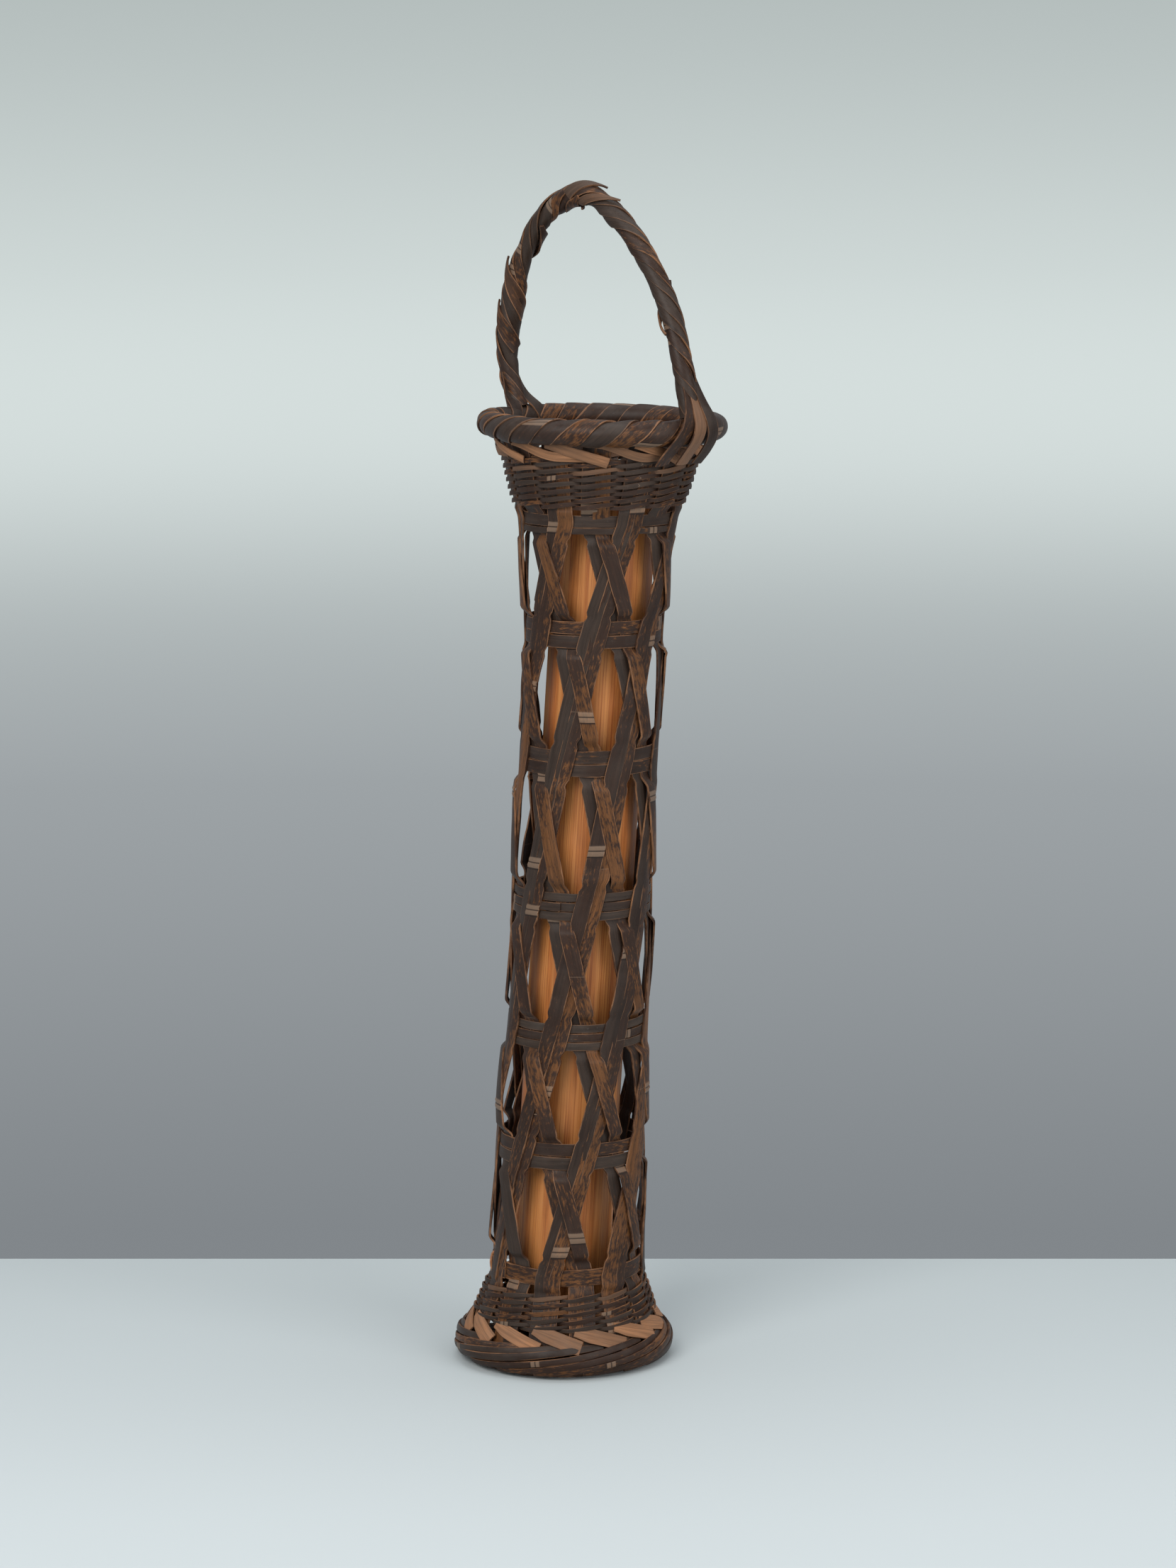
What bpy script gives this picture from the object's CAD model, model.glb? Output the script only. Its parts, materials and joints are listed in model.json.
"""A tall flower basket of smoked bamboo splints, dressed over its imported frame.

Lengths in the pieces' own code are millimetres in the basket's frame: +Z up, the floor at Z = 0,
and angles measured round the basket from its front, positive to the right.
"""

import json
import math
import random

import bmesh
import bpy
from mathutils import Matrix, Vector, noise


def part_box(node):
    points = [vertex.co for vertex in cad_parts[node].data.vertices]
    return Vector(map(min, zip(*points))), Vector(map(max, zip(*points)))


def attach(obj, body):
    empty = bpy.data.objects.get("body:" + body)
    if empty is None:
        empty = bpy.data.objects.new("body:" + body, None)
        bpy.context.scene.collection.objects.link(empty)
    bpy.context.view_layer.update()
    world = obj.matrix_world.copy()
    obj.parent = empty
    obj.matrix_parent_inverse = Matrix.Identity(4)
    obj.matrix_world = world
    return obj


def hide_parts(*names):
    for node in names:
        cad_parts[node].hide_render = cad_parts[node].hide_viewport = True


bl_info = {
    "name": "Woven Flower Basket",
    "version": (1, 0, 0),
    "blender": (4, 5, 0),
    "location": "3D View > Sidebar > Basket",
    "description": "Dresses a tall bamboo flower basket with splints, bindings and a water tube",
    "category": "Object",
}

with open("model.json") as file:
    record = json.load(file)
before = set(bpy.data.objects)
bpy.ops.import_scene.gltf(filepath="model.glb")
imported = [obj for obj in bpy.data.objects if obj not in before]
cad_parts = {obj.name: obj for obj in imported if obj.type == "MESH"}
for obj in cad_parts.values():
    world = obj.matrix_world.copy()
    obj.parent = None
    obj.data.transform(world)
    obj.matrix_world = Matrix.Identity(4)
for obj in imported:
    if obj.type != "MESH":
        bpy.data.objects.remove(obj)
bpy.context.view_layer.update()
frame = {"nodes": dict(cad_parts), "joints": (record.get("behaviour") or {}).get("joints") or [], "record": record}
MM = 0.001


# ---- sizes and finishes a user may change ----


class BasketSizes(bpy.types.PropertyGroup):
    """Sizes of the splints, which are laid over the frame."""

    stake_width: bpy.props.FloatProperty(
        name="Stake width",
        description="Width of one splint of the crossing stakes",
        default=0.0079,
        unit="LENGTH",
    )
    splint_thickness: bpy.props.FloatProperty(
        name="Splint thickness",
        description="Thickness of the stakes and hoops",
        default=0.00095,
        unit="LENGTH",
    )
    weaver_height: bpy.props.FloatProperty(
        name="Weaver height",
        description="Height of a twined weaver in front of a stake",
        default=0.00215,
        unit="LENGTH",
    )
    wrap_overlap: bpy.props.FloatProperty(
        name="Wrap overlap",
        description="How much wider a rim wrap is than the room it has",
        default=1.22,
        min=1.0,
        max=1.6,
    )
    bulge: bpy.props.FloatProperty(
        name="Bulge",
        description="How far the stakes bow out between two hoops",
        default=0.0026,
        unit="LENGTH",
    )


class BasketFinish(bpy.types.PropertyGroup):
    """Colours of the splints and of the water tube."""

    umber: bpy.props.FloatVectorProperty(
        name="Smoked skin",
        description="Dark skin of the splints",
        subtype="COLOR",
        default=(0.034, 0.015, 0.0085),
    )
    grey: bpy.props.FloatVectorProperty(
        name="Weathered skin",
        description="Grey-brown of the weathered splints",
        subtype="COLOR",
        default=(0.056, 0.037, 0.027),
    )
    amber: bpy.props.FloatVectorProperty(
        name="Rubbed skin",
        description="Orange-brown patches where the smoke has rubbed off",
        subtype="COLOR",
        default=(0.155, 0.060, 0.018),
    )
    tan: bpy.props.FloatVectorProperty(
        name="Inner face",
        description="Tan inner face and cut edges of the splints",
        subtype="COLOR",
        default=(0.34, 0.162, 0.078),
    )
    culm: bpy.props.FloatVectorProperty(
        name="Peeled culm",
        description="Peeled bamboo of the water tube",
        subtype="COLOR",
        default=(0.53, 0.175, 0.044),
    )


def sizes():
    """The scene's basket sizes."""
    return bpy.context.scene.basket_sizes


def finish_colours():
    """The scene's basket colours."""
    return bpy.context.scene.basket_finish


# ---- the basket's shape, read from the frame ----


def smooth(value):
    """0 below 0, 1 above 1, and a smooth step between."""
    held = min(max(value, 0.0), 1.0)
    return held * held * (3 - 2 * held)


def between(knots, x):
    """A smooth curve through (x, y) knots, carried on straight past both ends."""
    if x <= knots[0][0]:
        (x0, y0), (x1, y1) = knots[:2]
        return y0 + (x - x0) * (y1 - y0) / (x1 - x0)
    if x >= knots[-1][0]:
        (x0, y0), (x1, y1) = knots[-2:]
        return y1 + (x - x1) * (y1 - y0) / (x1 - x0)
    i = max(j for j in range(len(knots) - 1) if knots[j][0] <= x)
    (x0, y0), (x1, y1) = knots[i], knots[i + 1]
    before = knots[max(i - 1, 0)]
    after = knots[min(i + 2, len(knots) - 1)]
    slope0 = (y1 - before[1]) / (x1 - before[0])
    slope1 = (after[1] - y0) / (after[0] - x0)
    span = x1 - x0
    t = (x - x0) / span
    rise = smooth(t)
    bend = t * (1 - t) ** 2 * slope0 - t * t * (1 - t) * slope1
    return y0 * (1 - rise) + y1 * rise + span * bend


def ring(*nodes):
    """(middle height, outer radius, height) in millimetres of the rings in some frame nodes."""
    lows, highs = zip(*[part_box(node) for node in nodes])
    low = min(point[2] for point in lows)
    high = max(point[2] for point in highs)
    radius = (highs[0][0] - lows[0][0]) / 2
    return (low + high) / 2 / MM, radius / MM, (high - low) / MM


def nodes_named(start):
    """The frame's nodes whose names start that way, in order."""
    return sorted(name for name in frame["nodes"] if name.startswith(start))


HOOP_WORDS = ["one", "two", "three", "four", "five", "six", "seven"]
HOOPS = [ring(*nodes_named(f"hoop_{word}")) for word in HOOP_WORDS]
COLLAR = [ring(name) for name in nodes_named("collar_row_")]
SKIRT = [ring(name) for name in nodes_named("skirt_row_")]

# How far the stakes' middle lies inside the outer face of a hoop, and of a twined row.
HOOP_SKIN = 0.4
WEAVER_REACH = 1.75

# Seven stakes lean each way. Their first crossing is a little right of the front, and each
# crossing below it is turned a little further round.
MEMBERS = 7
MEMBER_ANGLE = 2 * math.pi / MEMBERS
FIRST_CROSSING = math.radians(11.3)
TWIST = math.radians(2.4)
LAYER = 1.1
STAKE_TOP, STAKE_BOTTOM = 443.0, 10.5

# The middle of the rim roll, and of the foot's plait.
RIM_RADIUS = 52.6
RIM_HEIGHT = 447.5
PLAIT_RADIUS = 45.2

# The basket's middle moves to the right as it rises.
FOOT_X = -12.2
LEAN = 0.0423

# How many splints wrap the rim, and how many fold or sweep round at the rim and the foot.
RIM_WRAPS = 28
FOLDED_ENDS = 14

# The water tube: its wall's two radii, and the thickness of the node that closes it.
TUBE_OUTSIDE = 23.5
TUBE_BORE = 19.2
TUBE_FLOOR = 7.0

# Height and radius pairs that the stakes follow, from the foot to the rim.
PROFILE = [
    (4.0, 46.2),
    (12.0, PLAIT_RADIUS),
    *[(row[0], row[1] - WEAVER_REACH) for row in SKIRT],
    *[(hoop[0], hoop[1] - HOOP_SKIN) for hoop in reversed(HOOPS)],
    *[(row[0], row[1] - WEAVER_REACH) for row in COLLAR],
    (438.0, 46.4),
    (446.0, 48.2),
]
LEVELS = [(hoop[0], len(HOOPS) - 1.5 - i) for i, hoop in enumerate(reversed(HOOPS))]
SKIRT_END = SKIRT[-1][0] + 2.2
COLLAR_START = COLLAR[0][0] - 1.2
TOP_HOOP_TOP = HOOPS[0][0] + HOOPS[0][2] / 2
BOTTOM_HOOP_BOTTOM = HOOPS[-1][0] - HOOPS[-1][2] / 2


def width_at(z):
    """The stakes' radius at height z."""
    return between(PROFILE, z)


def middle(z):
    """The basket's middle at height z."""
    return Vector((FOOT_X + LEAN * z, 0.0, z))


def outward(angle):
    """The direction away from the middle at an angle from the front."""
    return Vector((math.sin(angle), -math.cos(angle), 0.0))


def on_basket(angle, z, radius):
    """The point at an angle, a height and a distance from the middle."""
    return middle(z) + outward(angle) * radius


def wobble(seed, x):
    """A slow random wave between about -1 and 1."""
    return 1.6 * noise.noise(Vector((x, seed * 7.31 + 0.37, seed * 3.7 - 1.9)))


# ---- splints: strips of bamboo laid along a path ----


def add_object(name, data):
    """A new object in the scene, at the origin."""
    piece = bpy.data.objects.new(name, data)
    bpy.context.scene.collection.objects.link(piece)
    return piece


def curve_mesh(name, points, resolution, thickness=0.0):
    """The mesh of a smooth curve through some points: a line, or a round strand."""
    curve = bpy.data.curves.new(name, "CURVE")
    curve.dimensions = "3D"
    curve.resolution_u = resolution
    curve.bevel_depth = thickness / 2 * MM
    curve.bevel_resolution = 3
    spline = curve.splines.new("BEZIER")
    spline.bezier_points.add(len(points) - 1)
    for knot, point in zip(spline.bezier_points, points):
        knot.co = point * MM
        knot.handle_left_type = knot.handle_right_type = "AUTO"
    line = add_object(name, curve)
    bpy.context.view_layer.update()
    mesh = bpy.data.meshes.new_from_object(line)
    bpy.data.objects.remove(line)
    bpy.data.curves.remove(curve)
    return mesh


class Splints:
    """A mesh of bamboo strips, whose maps follow each strip's fibres.

    The Fibre map runs across and along each strip in centimetres. The attributes are tone, a
    strip's own shade; side, from -1 to 1 across it; joint, the distance in millimetres past its
    nearest node; and inner, 1 on strips that show their tan inner face.
    """

    JOINT_REACH = 12.0

    def __init__(self):
        self.mesh = bmesh.new()
        self.fibre = self.mesh.loops.layers.uv.new("Fibre")
        layers = self.mesh.verts.layers.float
        self.tone = layers.new("tone")
        self.side = layers.new("side")
        self.joint = layers.new("joint")
        self.inner = layers.new("inner")

    def lay(self, place, length, width, rng, cells, across=4, closed=False, joints=(), inner=0.0,
            tone=None):
        """Lays one strip: place(t, side) is the point at t of its length and side from -1 to 1."""
        grid = bmesh.ops.create_grid(self.mesh, x_segments=cells, y_segments=across, size=0.5)
        shade = rng.random() if tone is None else tone
        shift = (rng.uniform(0, 40), rng.uniform(0, 40))
        spots = {}
        for vert in grid["verts"]:
            t, side = vert.co.x + 0.5, vert.co.y * 2
            spots[vert] = (t, side)
            vert[self.tone] = shade
            vert[self.side] = side
            vert[self.inner] = inner
            gaps = [t * length - spot for spot in joints] or [self.JOINT_REACH]
            past = min(gaps, key=abs)
            vert[self.joint] = max(-self.JOINT_REACH, min(self.JOINT_REACH, past))
        faces = {face for vert in grid["verts"] for face in vert.link_faces}
        for face in faces:
            face.smooth = True
            for loop in face.loops:
                t, side = spots[loop.vert]
                across_cm = side * width / 20 + shift[0]
                loop[self.fibre].uv = (across_cm, t * length / 10 + shift[1])
        for vert, (t, side) in spots.items():
            vert.co = place(t, side) * MM
        if closed:
            ends = [vert for vert, (t, _) in spots.items() if t < 1e-6 or t > 1 - 1e-6]
            bmesh.ops.remove_doubles(self.mesh, verts=ends, dist=1e-6)

    def piece(self, name, thickness, materials, bevel=0.16):
        """Makes the strips one object, gives them their thickness and rounds their edges."""
        data = bpy.data.meshes.new(name)
        self.mesh.to_mesh(data)
        self.mesh.free()
        piece = add_object(name, data)
        for material in materials:
            data.materials.append(material)
        solid = piece.modifiers.new("Thickness", "SOLIDIFY")
        solid.thickness = thickness * MM
        solid.offset = 0.0
        solid.use_even_offset = True
        solid.material_offset_rim = 1
        edge = piece.modifiers.new("Edges", "BEVEL")
        edge.width = bevel * MM
        edge.segments = 1
        edge.limit_method = "ANGLE"
        edge.angle_limit = math.radians(50)
        edge.harden_normals = True
        return piece


def ribbon(path, face, half, crown=0.25):
    """The surface of a flat strip along path(t), which faces face(t) and is 2 * half(t) wide."""

    def place(t, across):
        along = (path(t + 0.01) - path(t - 0.01)).normalized()
        out = face(t)
        side = out.cross(along).normalized()
        out = along.cross(side).normalized()
        return path(t) + side * (across * half(t)) + out * (crown * (1 - across * across))

    return place


def joint_bump(distance):
    """The double ridge of a bamboo node, in millimetres, at a distance along the splint."""
    upper = math.exp(-(((distance - 1.1) / 0.75) ** 2))
    lower = 0.8 * math.exp(-(((distance + 1.3) / 0.65) ** 2))
    return 0.5 * (upper + lower)


def joints_for(rng, length, spacing=215.0):
    """Distances along a splint at which it has nodes."""
    spots = []
    at = rng.uniform(0.1, 0.95) * spacing
    while at < length:
        spots.append(at)
        at += spacing * rng.uniform(0.82, 1.18)
    return spots


def dress(piece, slot, *nodes, body="basket"):
    """Gives a piece its place in the row: what it stands for, its finish and its body."""
    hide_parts(*nodes)
    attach(piece, body)


# ---- stakes ----


def level_at(z):
    """0 at the first crossing, and one more at each crossing below it."""
    return between(LEVELS, min(max(z, LEVELS[0][0]), LEVELS[-1][0]))


def near_hoop(level):
    """0 where two stakes cross, and 1 where they pass a hoop."""
    swap_start, swap_length = 0.30, 0.09
    from_crossing = abs(level - round(level))
    if level <= -0.5 or level >= len(HOOPS) - 1.5:
        from_crossing = 0.5
    return smooth((from_crossing - swap_start) / swap_length)


def in_lattice(z):
    """1 between the top and bottom hoops, and 0 in the twined rows."""
    above = smooth((COLLAR_START - z) / (COLLAR_START - TOP_HOOP_TOP - 0.6))
    below = smooth((z - SKIRT_END) / (BOTTOM_HOOP_BOTTOM - 0.6 - SKIRT_END))
    return min(above, below)


def stake_angle(direction, number, z):
    """Where a stake is round the basket: direction is -1 for one that goes down to the left."""
    start = FIRST_CROSSING + number * MEMBER_ANGLE
    return start + level_at(z) * (direction * MEMBER_ANGLE / 2 + TWIST)


def bow(angle, z):
    """How far the crossing stakes bow out between two hoops."""
    free = in_lattice(z) * (1 - near_hoop(level_at(z)))
    loose = 0.45 + 0.8 * max(wobble(3, z / 45 + 2.2 * math.sin(angle)), 0.0)
    return free * loose * sizes().bulge / MM


def stake_strip(direction, number, side, rng):
    """The surface of one splint of a stake, as place(t, across) for the strip builder."""
    drop = STAKE_TOP - STAKE_BOTTOM
    seed = number * 4 + side + (20 if direction > 0 else 0)
    half = sizes().stake_width / MM / 2 * rng.uniform(0.92, 1.04)
    beside = rng.uniform(2.3, 3.0)
    over = rng.choice((-1, 1))

    def place(t, across, joints=()):
        z = STAKE_TOP - drop * t
        level = level_at(z)
        hoop = near_hoop(level)
        if direction < 0:
            layer = hoop
        elif side > 0:
            layer = 1.05 - 2.05 * hoop
        else:
            layer = -1.0
        lattice = in_lattice(z)
        radius = width_at(z) + LAYER * layer * lattice
        angle = stake_angle(direction, number, z)
        radius += bow(angle, z)
        lap = 0.5 + 0.5 * side * across
        radius += lattice * (0.55 * over * side * (1 - lap))
        radius += 0.16 * (1 - across * across)
        radius += 0.10 * wobble(seed + 0.5, z / 14)
        pinch = 4 * hoop * (1 - hoop) * lattice
        place_mm = side * (beside - 0.5 * pinch) + 0.45 * wobble(seed, z / 60) * lattice
        edge = half * (1 - 0.13 * pinch) * (1 + 0.03 * wobble(seed + across * 3, z / 9))
        for spot in joints:
            radius += joint_bump((t - spot) * drop)
        turn = angle + (place_mm + across * edge) / radius
        return on_basket(turn, z, radius)

    return place, drop


class BASKET_OT_stakes(bpy.types.Operator):
    """Lay the crossing stakes, two splints each, from the rim to the foot"""

    bl_idname = "basket.stakes"
    bl_label = "Crossing stakes"

    def execute(self, context):
        for word, direction in (("left", -1), ("right", 1)):
            for number in range(MEMBERS):
                node = f"stake_{word}_{number + 1}"
                rng = random.Random(node)
                splints = Splints()
                for side in (-1, 1):
                    place, length = stake_strip(direction, number, side, rng)
                    joints = joints_for(rng, length)
                    spots = [joint / length for joint in joints]
                    splints.lay(
                        lambda t, across: place(t, across, spots),
                        length, sizes().stake_width / MM, rng, 460, joints=joints,
                    )
                piece = splints.piece(
                    f"{node}_splints", sizes().splint_thickness / MM, splint_finish("stake")
                )
                dress(piece, "dark_splint", node)
        return {"FINISHED"}


# ---- hoops ----


class BASKET_OT_hoops(bpy.types.Operator):
    """Bend the hoops round the stakes, each splint with its ends lapped"""

    bl_idname = "basket.hoops"
    bl_label = "Hoops"

    def execute(self, context):
        for number, node in enumerate(nodes_named("hoop_")):
            if node == "hoop_tie":
                continue
            self.bend(number, node)
        return {"FINISHED"}

    def bend(self, number, node):
        """One splint of a hoop."""
        rng = random.Random(node)
        z, outer, height = ring(node)
        radius = outer - HOOP_SKIN
        lap = math.radians(rng.uniform(18, 30))
        start = math.radians(self.lap_angle(node, rng))
        length = radius * (2 * math.pi + lap)
        joints = joints_for(rng, length, 190.0)

        def place(t, across):
            angle = start + (2 * math.pi + lap) * t
            lapped = smooth((angle - start - 2 * math.pi + 0.12) / 0.12)
            rise = 0.95 * lapped + 0.12 * (1 - across * across)
            rise += 0.12 * wobble(number + 0.5, 3 * math.sin(angle))
            for joint in joints:
                rise += 0.8 * joint_bump(t * length - joint)
            drift = 0.35 * wobble(number, 1.4 * math.cos(angle) + 3)
            half = height / 2 * (1.0 + 0.035 * wobble(number + across, t * length / 11))
            return on_basket(angle, z + drift - across * half, radius + rise)

        splints = Splints()
        tone = 0.97 if node == "hoop_seven" else rng.uniform(0.15, 0.85)
        splints.lay(place, length, height, rng, 220, joints=joints, tone=tone)
        slot = "pale_splint" if "five" in node else "hoop_splint"
        finish = "pale" if "five" in node else "hoop"
        piece = splints.piece(
            f"{node}_splint", sizes().splint_thickness / MM * 0.9, splint_finish(finish)
        )
        dress(piece, slot, node)

    def lap_angle(self, node, rng):
        """Where the lapped ends lie: mostly at the back, and at the left front on the fourth."""
        if node == "hoop_four_middle":
            return -38.0
        if node == "hoop_seven":
            return -82.0
        return rng.uniform(120, 240)


# ---- twined rows ----


class BASKET_OT_weavers(bpy.types.Operator):
    """Twine the thin weavers round the stakes in the collar and over the foot"""

    bl_idname = "basket.weavers"
    bl_label = "Twined rows"

    def execute(self, context):
        for word, rows, level_end in (("collar", COLLAR, 0), ("skirt", SKIRT, -1)):
            start = stake_angle(-1, 0, HOOPS[level_end][0])
            for number, row in enumerate(rows):
                self.twine(f"{word}_row_{number + 1}", row, start)
        return {"FINISHED"}

    def twine(self, node, row, start):
        """One row: two weavers that pass in front of every other stake."""
        rng = random.Random(node)
        row_z = row[0]
        weave_depth, weave_rise = 1.4, 0.9
        splints = Splints()
        for sign in (1, -1):
            seed = rng.uniform(0, 60)
            length = 2 * math.pi * row[1]
            joints = joints_for(rng, length, 420.0)
            bare = rng.random() < 0.18

            def place(t, across):
                angle = start + 2 * math.pi * t
                wave = MEMBERS * (angle - start)
                front = math.cos(wave)
                shape = front / math.hypot(front, 0.45 * math.sin(wave))
                z = row_z + sign * weave_rise * math.sin(wave)
                z += 0.22 * wobble(seed, 2.0 * math.sin(angle) + 4)
                radius = width_at(row_z) + sign * weave_depth * shape
                radius += 0.12 * wobble(seed + 2, 5 * math.cos(angle))
                half = sizes().weaver_height / MM / 2
                half *= 0.80 + 0.20 * front * front + 0.06 * wobble(seed + 4, t * length / 12)
                return on_basket(
                    angle, z - across * half, radius + 0.10 * (1 - across * across)
                )

            splints.lay(place, length, 2.2, rng, 168, across=2, closed=True, joints=joints,
                        inner=0.55 if bare else 0.0)
        piece = splints.piece(f"{node}_weavers", 0.8, splint_finish("weaver"), bevel=0.18)
        dress(piece, "weaver", node)


# ---- rim ----


class BASKET_OT_rim(bpy.types.Operator):
    """Wrap the rim roll with the stakes' ends, each one lapped over the next"""

    bl_idname = "basket.rim"
    bl_label = "Rim wraps"

    def execute(self, context):
        spacing = 2 * math.pi / RIM_WRAPS
        splints = Splints()
        for number in range(RIM_WRAPS):
            rng = random.Random(f"rim {number}")
            splints.lay(
                self.wrap(number * spacing, spacing, rng), 50.0, 11.0, rng, 40, across=6,
                joints=[rng.uniform(8, 45)] if rng.random() < 0.3 else (),
            )
        piece = splints.piece("rim_wrap_splints", 0.85, splint_finish("rim"))
        dress(piece, "rim_splint", "rim_wraps")
        return {"FINISHED"}

    def wrap(self, start, spacing, rng):
        """One splint end, that goes round the roll while it moves along it."""
        seed = rng.uniform(0, 90)
        advance = spacing * 3.0
        half = spacing / 2 * sizes().wrap_overlap * rng.uniform(0.92, 1.1)
        seam = math.radians(-122)
        full = math.radians(352)
        roll, lapped, crown = 4.85, 1.05, 0.32

        def place(t, across):
            turned = full * t
            angle = start + advance * turned / (2 * math.pi) + across * half
            angle += 0.012 * wobble(seed, t * 3)
            turn = seam + turned
            tube = roll + lapped * (1 + across) / 2 + crown * (1 - across * across)
            tube += 0.30 * wobble(seed + 3, 2.5 * t)
            tube += 0.45 * wobble(11, 9 * math.sin(angle / 2))
            sag = -0.9 * math.sin(angle) + 0.5 * wobble(17, 2 * math.cos(angle))
            lift = Vector((0, 0, tube * math.sin(turn) + sag))
            reach = RIM_RADIUS + tube * math.cos(turn) * 1.02
            return middle(RIM_HEIGHT) + outward(angle) * reach + lift

        return place


class BASKET_OT_borders(bpy.types.Operator):
    """Fold the splint ends down under the rim and out over the foot, inner face out"""

    bl_idname = "basket.borders"
    bl_label = "Folded ends"

    def execute(self, context):
        self.fold_rim()
        self.fold_foot()
        return {"FINISHED"}

    def fold_rim(self):
        """Tan ends that slant down to the right between the rim and the collar."""
        splints = Splints()
        for number in range(FOLDED_ENDS):
            rng = random.Random(f"border {number}")
            upper = number % 2
            first = math.radians(-8) + number * 2 * math.pi / FOLDED_ENDS
            first += rng.uniform(-0.06, 0.06)
            span = math.radians(rng.uniform(30, 36) if upper else rng.uniform(44, 52))
            seed = rng.uniform(0, 60)
            half = rng.uniform(2.0, 2.7)

            def path(t):
                drop = 9.0 * t if upper else 6.6 * smooth(1.5 * t)
                z = 442.4 - drop + 0.4 * wobble(seed, 2 * t)
                reach = 49.9 - 2.3 * t - 1.2 * smooth((t - 0.6) / 0.4) + 0.6 * upper
                return on_basket(first + span * t, z, reach)

            def face(t):
                return outward(first + span * t) + Vector((0, 0, -0.3))

            place = ribbon(path, face, lambda t: half * (1 + 0.06 * wobble(seed + 2, 4 * t)))
            splints.lay(place, 42.0, 2 * half, rng, 36, inner=1.0, tone=rng.uniform(0.2, 1.0))
        piece = splints.piece("border_fold_splints", 0.8, splint_finish("fold"))
        dress(piece, "tan_splint", "border_folds")

    def fold_foot(self):
        """Tan ends that spread out over the foot and tuck under its plait."""
        splints = Splints()
        top = SKIRT[0][0] - 1.2
        for number in range(FOLDED_ENDS):
            rng = random.Random(f"foot fold {number}")
            first = math.radians(4) + number * 2 * math.pi / FOLDED_ENDS
            first += rng.uniform(-0.05, 0.05)
            span = math.radians(rng.uniform(27, 34))
            half = rng.uniform(3.1, 3.9)
            lift = 0.5 * (number % 2)

            def path(t):
                reach = width_at(top) + 0.9 + 4.6 * t
                return on_basket(first + span * t, top + lift - 6.0 * t - 1.6 * t * t, reach)

            def face(t):
                return outward(first + span * t) * 0.84 + Vector((0, 0, 0.54))

            place = ribbon(path, face, lambda t: half * (0.66 + 0.34 * smooth(3 * t)))
            splints.lay(place, 24.0, 2 * half, rng, 24, inner=1.0, tone=rng.uniform(0.0, 1.0))
        piece = splints.piece("foot_fold_splints", 0.8, splint_finish("fold"))
        dress(piece, "tan_splint", "foot_folds")


class BASKET_OT_foot(bpy.types.Operator):
    """Plait the thick splints round the foot, each one a third of the way round"""

    bl_idname = "basket.foot"
    bl_label = "Foot plait"

    def execute(self, context):
        splints = Splints()
        length = 115.0
        for number in range(FOLDED_ENDS):
            rng = random.Random(f"foot {number}")
            splints.lay(
                self.sweep(number * 2 * math.pi / FOLDED_ENDS, rng), length, 4.2, rng, 90,
                joints=joints_for(rng, length, 170.0),
            )
        piece = splints.piece("foot_plait_splints", 1.8, splint_finish("rim"), bevel=0.3)
        dress(piece, "rim_splint", "foot_sweeps")
        return {"FINISHED"}

    def sweep(self, start, rng):
        """One splint, from the top of the foot at its right to its underside at its left."""
        seed = rng.uniform(0, 90)
        span = math.radians(rng.uniform(112, 128))
        start += rng.uniform(-0.05, 0.05)
        low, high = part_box("foot_sweeps")
        center_z = (low[2] + high[2]) / 2 / MM
        rise = (high[2] - low[2]) / 2 / MM - 1.4
        half = rng.uniform(1.36, 1.62)
        proud = rng.uniform(-0.6, 0.6)
        roll, first_turn, wound = 6.4, 80, 142

        def turn_at(t):
            return math.radians(first_turn - wound * t) + 0.06 * wobble(seed, 3 * t)

        def path(t):
            angle = start - span * t
            loose = proud + 0.5 * wobble(seed + 5, 2.5 * t)
            turn = turn_at(t)
            z = center_z + (rise + 0.3 * loose) * math.sin(turn)
            return on_basket(angle, z, PLAIT_RADIUS + (roll + loose) * math.cos(turn))

        def face(t):
            turn = turn_at(t) * 0.5
            return outward(start - span * t) * math.cos(turn) + Vector((0, 0, math.sin(turn)))

        # the upright faces leave a step under each splint
        return ribbon(path, face, lambda t: half * (1 + 0.05 * wobble(seed + 9, 5 * t)))


# ---- handle ----

# The handle's middle line, as (level distance from the basket's middle, height) pairs.
HANDLE = [
    (-55.0, 455.5),
    (-60.5, 476.0),
    (-57.5, 502.0),
    (-47.5, 530.0),
    (-32.0, 547.0),
    (-12.5, 554.5),
    (8.0, 545.0),
    (26.0, 527.0),
    (40.0, 505.0),
    (48.5, 481.0),
    (54.0, 456.0),
]
HANDLE_TURN = math.radians(42)

# How far along the handle a splint goes for one turn round it.
STRAND_PITCH = 50.0

# The flat ends' outlines, as (distance from the basket's middle, height) pairs.
REAR_TAIL = [(59.0, 470), (54.5, 460), (48.6, 453.5), (46.2, 446), (45.0, 436)]
FRONT_TAIL = [(50.6, 473), (56.6, 461), (60.4, 452), (59.8, 445), (55.0, 438), (49.8, 432)]


def handle_direction():
    """The level direction from the handle's rear leg to its front leg."""
    return Vector((math.cos(HANDLE_TURN), -math.sin(HANDLE_TURN), 0.0))


def handle_path():
    """The handle's middle line as evenly spaced points."""
    base = middle(RIM_HEIGHT)
    knots = [
        Vector((base.x, base.y, 0)) + handle_direction() * reach + Vector((0, 0, z))
        for reach, z in HANDLE
    ]
    mesh = curve_mesh("handle_line", knots, 24)
    points = [vert.co / MM for vert in mesh.vertices]
    bpy.data.meshes.remove(mesh)
    return points


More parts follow.
